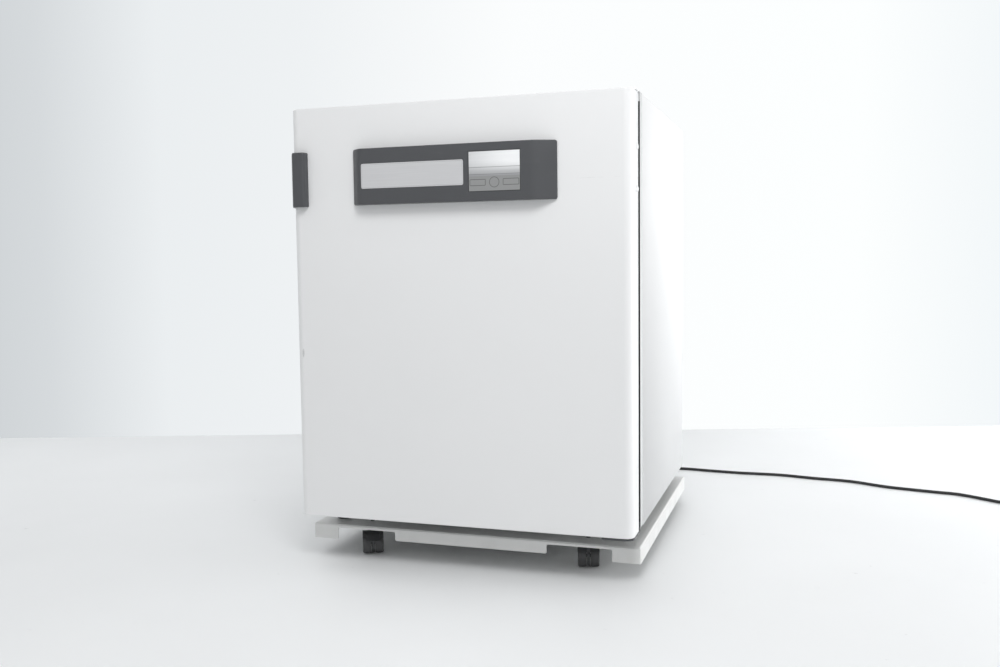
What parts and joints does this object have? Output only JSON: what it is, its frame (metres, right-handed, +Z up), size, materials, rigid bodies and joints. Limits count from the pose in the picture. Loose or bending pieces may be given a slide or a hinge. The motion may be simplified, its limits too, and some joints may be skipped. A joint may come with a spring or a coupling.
{
  "type": "carbon dioxide incubator",
  "caption": "Floor-standing carbon dioxide incubator cabinet with an insulated outer door, an inner glass door, perforated shelves in a steel chamber, and a low roller base with braked casters.",
  "frame": {"origin": "on the floor under the middle of the machine", "axes": "+X towards the doors' hinge side, +Y from the door to the back, +Z up"},
  "size_m": [1.7886, 1.247, 1.046],
  "materials": {
    "white_enamel": "satin powder coat with a faint orange peel",
    "grey_frame": "light grey moulded frame",
    "stainless": "fine brushed, electropolished",
    "galvanised": "zinc plated sheet",
    "silicone": "matt pale grey",
    "charcoal_moulding": "satin charcoal moulding with a fine grain",
    "display_glass": "gloss window over a grey liquid crystal panel",
    "silver_plate": "satin silver, bare",
    "clear_glass": "clear",
    "foam": "rigid foam",
    "filter_paper": "pleated paper",
    "black_moulding": "fine texture",
    "grey_moulding": "fine texture",
    "base_enamel": "satin light grey powder coat",
    "cord_rubber": "satin black sheath",
    "caster_grey": "dark grey moulding",
    "caster_tyre": "dark tread",
    "foot_rubber": "black"
  },
  "bodies": {
    "root": {"outer_casing": "white_enamel", "base_pan": "galvanised", "front_frame": "grey_frame", "insulation_jacket": "foam", "chamber_liner": "stainless", "chamber_gasket": "silicone", "rear_cover": "white_enamel", "hinge_bracket_top": "galvanised", "hinge_bracket_bottom": "galvanised", "glass_hinge_top": "stainless", "glass_hinge_bottom": "stainless", "glass_catch": "black_moulding", "shelf_rack_left": "stainless", "shelf_rack_right": "stainless", "humidity_cover": "stainless", "air_baffle": "stainless", "fan_motor": "galvanised", "hepa_filter": "filter_paper", "sensor_probe": "stainless", "supply_panel": "grey_moulding", "access_port": "stainless", "base_frame": "base_enamel", "mains_connector": "black_moulding", "mains_cord": "cord_rubber", "mains_cord_coil": "cord_rubber", "mains_plug": "black_moulding"},
    "outer_door": {"door_shell": "white_enamel", "door_liner": "stainless", "door_gasket": "silicone", "door_handle": "charcoal_moulding", "display_housing": "charcoal_moulding", "display_screen": "display_glass", "name_plate": "silver_plate"},
    "glass_door": {"glass_pane": "clear_glass", "glass_hinge_rail": "stainless", "glass_knob": "stainless"},
    "shelf_1": {"shelf_1": "stainless"},
    "shelf_2": {"shelf_2": "stainless"},
    "shelf_3": {"shelf_3": "stainless"},
    "fan": {"fan_wheel": "black_moulding"},
    "port_plug": {"port_plug": "silicone"},
    "mains_switch": {"mains_switch": "black_moulding"},
    "levelling_foot_front_left": {"levelling_foot_front_left": "foot_rubber"},
    "levelling_foot_front_right": {"levelling_foot_front_right": "foot_rubber"},
    "levelling_foot_back_left": {"levelling_foot_back_left": "foot_rubber"},
    "levelling_foot_back_right": {"levelling_foot_back_right": "foot_rubber"},
    "caster_front_left": {"caster_fork_front_left": "caster_grey"},
    "wheel_front_left_left": {"caster_wheel_front_left_left": "caster_tyre"},
    "wheel_front_left_right": {"caster_wheel_front_left_right": "caster_tyre"},
    "brake_pedal_front_left": {"brake_pedal_front_left": "caster_grey"},
    "caster_front_right": {"caster_fork_front_right": "caster_grey"},
    "wheel_front_right_left": {"caster_wheel_front_right_left": "caster_tyre"},
    "wheel_front_right_right": {"caster_wheel_front_right_right": "caster_tyre"},
    "brake_pedal_front_right": {"brake_pedal_front_right": "caster_grey"},
    "caster_back_left": {"caster_fork_back_left": "caster_grey"},
    "wheel_back_left_left": {"caster_wheel_back_left_left": "caster_tyre"},
    "wheel_back_left_right": {"caster_wheel_back_left_right": "caster_tyre"},
    "caster_back_right": {"caster_fork_back_right": "caster_grey"},
    "wheel_back_right_left": {"caster_wheel_back_right_left": "caster_tyre"},
    "wheel_back_right_right": {"caster_wheel_back_right_right": "caster_tyre"}
  },
  "joints": [
    {"name": "outer_door_hinge", "type": "hinge", "parent": "root", "child": "outer_door", "pos_m": [0.374, -0.376, 0.575], "axis": [0, 0, 1], "range_deg": [0, 120]},
    {"name": "glass_door_hinge", "type": "hinge", "parent": "root", "child": "glass_door", "pos_m": [0.323, -0.3468, 0.5785], "axis": [0, 0, 1], "range_deg": [0, 100]},
    {"name": "shelf_1_slide", "type": "slide", "parent": "root", "child": "shelf_1", "axis": [0, -1, 0], "range_m": [0, 0.147]},
    {"name": "shelf_2_slide", "type": "slide", "parent": "root", "child": "shelf_2", "axis": [0, -1, 0], "range_m": [0, 0.147]},
    {"name": "shelf_3_slide", "type": "slide", "parent": "root", "child": "shelf_3", "axis": [0, -1, 0], "range_m": [0, 0.147]},
    {"name": "fan_spin", "type": "hinge", "parent": "root", "child": "fan", "pos_m": [0, 0.2552, 0.79], "axis": [0, 1, 0], "continuous": true},
    {"name": "port_plug_pull", "type": "slide", "parent": "root", "child": "port_plug", "axis": [0, 1, 0], "range_m": [0, 0.04]},
    {"name": "mains_switch_rocker", "type": "hinge", "parent": "root", "child": "mains_switch", "pos_m": [0.204, 0.443, 0.25], "axis": [1, 0, 0], "range_deg": [0, 18]},
    {"name": "foot_front_left_screw", "type": "slide", "parent": "root", "child": "levelling_foot_front_left", "axis": [0, 0, 1], "range_m": [0, 0.008]},
    {"name": "foot_front_right_screw", "type": "slide", "parent": "root", "child": "levelling_foot_front_right", "axis": [0, 0, 1], "range_m": [0, 0.008]},
    {"name": "foot_back_left_screw", "type": "slide", "parent": "root", "child": "levelling_foot_back_left", "axis": [0, 0, 1], "range_m": [0, 0.008]},
    {"name": "foot_back_right_screw", "type": "slide", "parent": "root", "child": "levelling_foot_back_right", "axis": [0, 0, 1], "range_m": [0, 0.008]},
    {"name": "front_left_swivel", "type": "hinge", "parent": "root", "child": "caster_front_left", "pos_m": [-0.266, -0.297, 0.05], "axis": [0, 0, 1], "continuous": true},
    {"name": "front_left_left_wheel_spin", "type": "hinge", "parent": "caster_front_left", "child": "wheel_front_left_left", "pos_m": [-0.24411, -0.30858, 0.025], "axis": [-0.8988, -0.4384, 0], "continuous": true},
    {"name": "front_left_right_wheel_spin", "type": "hinge", "parent": "caster_front_left", "child": "wheel_front_left_right", "pos_m": [-0.27036, -0.32138, 0.025], "axis": [-0.8988, -0.4384, 0], "continuous": true},
    {"name": "front_left_brake", "type": "hinge", "parent": "caster_front_left", "child": "brake_pedal_front_left", "pos_m": [-0.24565, -0.33872, 0.04796], "axis": [-0.8988, -0.4384, 0], "range_deg": [0, 25]},
    {"name": "front_right_swivel", "type": "hinge", "parent": "root", "child": "caster_front_right", "pos_m": [0.266, -0.297, 0.05], "axis": [0, 0, 1], "continuous": true},
    {"name": "front_right_left_wheel_spin", "type": "hinge", "parent": "caster_front_right", "child": "wheel_front_right_left", "pos_m": [0.24727, -0.2808, 0.025], "axis": [0.9744, 0.225, 0], "continuous": true},
    {"name": "front_right_right_wheel_spin", "type": "hinge", "parent": "caster_front_right", "child": "wheel_front_right_right", "pos_m": [0.27573, -0.27423, 0.025], "axis": [0.9744, 0.225, 0], "continuous": true},
    {"name": "front_right_brake", "type": "hinge", "parent": "caster_front_right", "child": "brake_pedal_front_right", "pos_m": [0.25556, -0.25178, 0.04796], "axis": [0.9744, 0.225, 0], "range_deg": [0, 25]},
    {"name": "back_left_swivel", "type": "hinge", "parent": "root", "child": "caster_back_left", "pos_m": [-0.266, 0.318, 0.05], "axis": [0, 0, 1], "continuous": true},
    {"name": "back_left_left_wheel_spin", "type": "hinge", "parent": "caster_back_left", "child": "wheel_back_left_left", "pos_m": [-0.28943, 0.32601, 0.025], "axis": [0.8192, 0.5736, 0], "continuous": true},
    {"name": "back_left_right_wheel_spin", "type": "hinge", "parent": "caster_back_left", "child": "wheel_back_left_right", "pos_m": [-0.26551, 0.34276, 0.025], "axis": [0.8192, 0.5736, 0], "continuous": true},
    {"name": "back_right_swivel", "type": "hinge", "parent": "root", "child": "caster_back_right", "pos_m": [0.266, 0.318, 0.05], "axis": [0, 0, 1], "continuous": true},
    {"name": "back_right_left_wheel_spin", "type": "hinge", "parent": "caster_back_right", "child": "wheel_back_right_left", "pos_m": [0.27602, 0.34064, 0.025], "axis": [0.5, -0.866, 0], "continuous": true},
    {"name": "back_right_right_wheel_spin", "type": "hinge", "parent": "caster_back_right", "child": "wheel_back_right_right", "pos_m": [0.29062, 0.31536, 0.025], "axis": [0.5, -0.866, 0], "continuous": true}
  ],
  "couplings": [
    {"joint": "glass_door_hinge", "follows": "outer_door_hinge", "ratio": 0.8333},
    {"joint": "shelf_1_slide", "follows": "outer_door_hinge", "m_per_rad": 0.07},
    {"joint": "shelf_2_slide", "follows": "outer_door_hinge", "m_per_rad": 0.07},
    {"joint": "shelf_3_slide", "follows": "outer_door_hinge", "m_per_rad": 0.07}
  ]
}
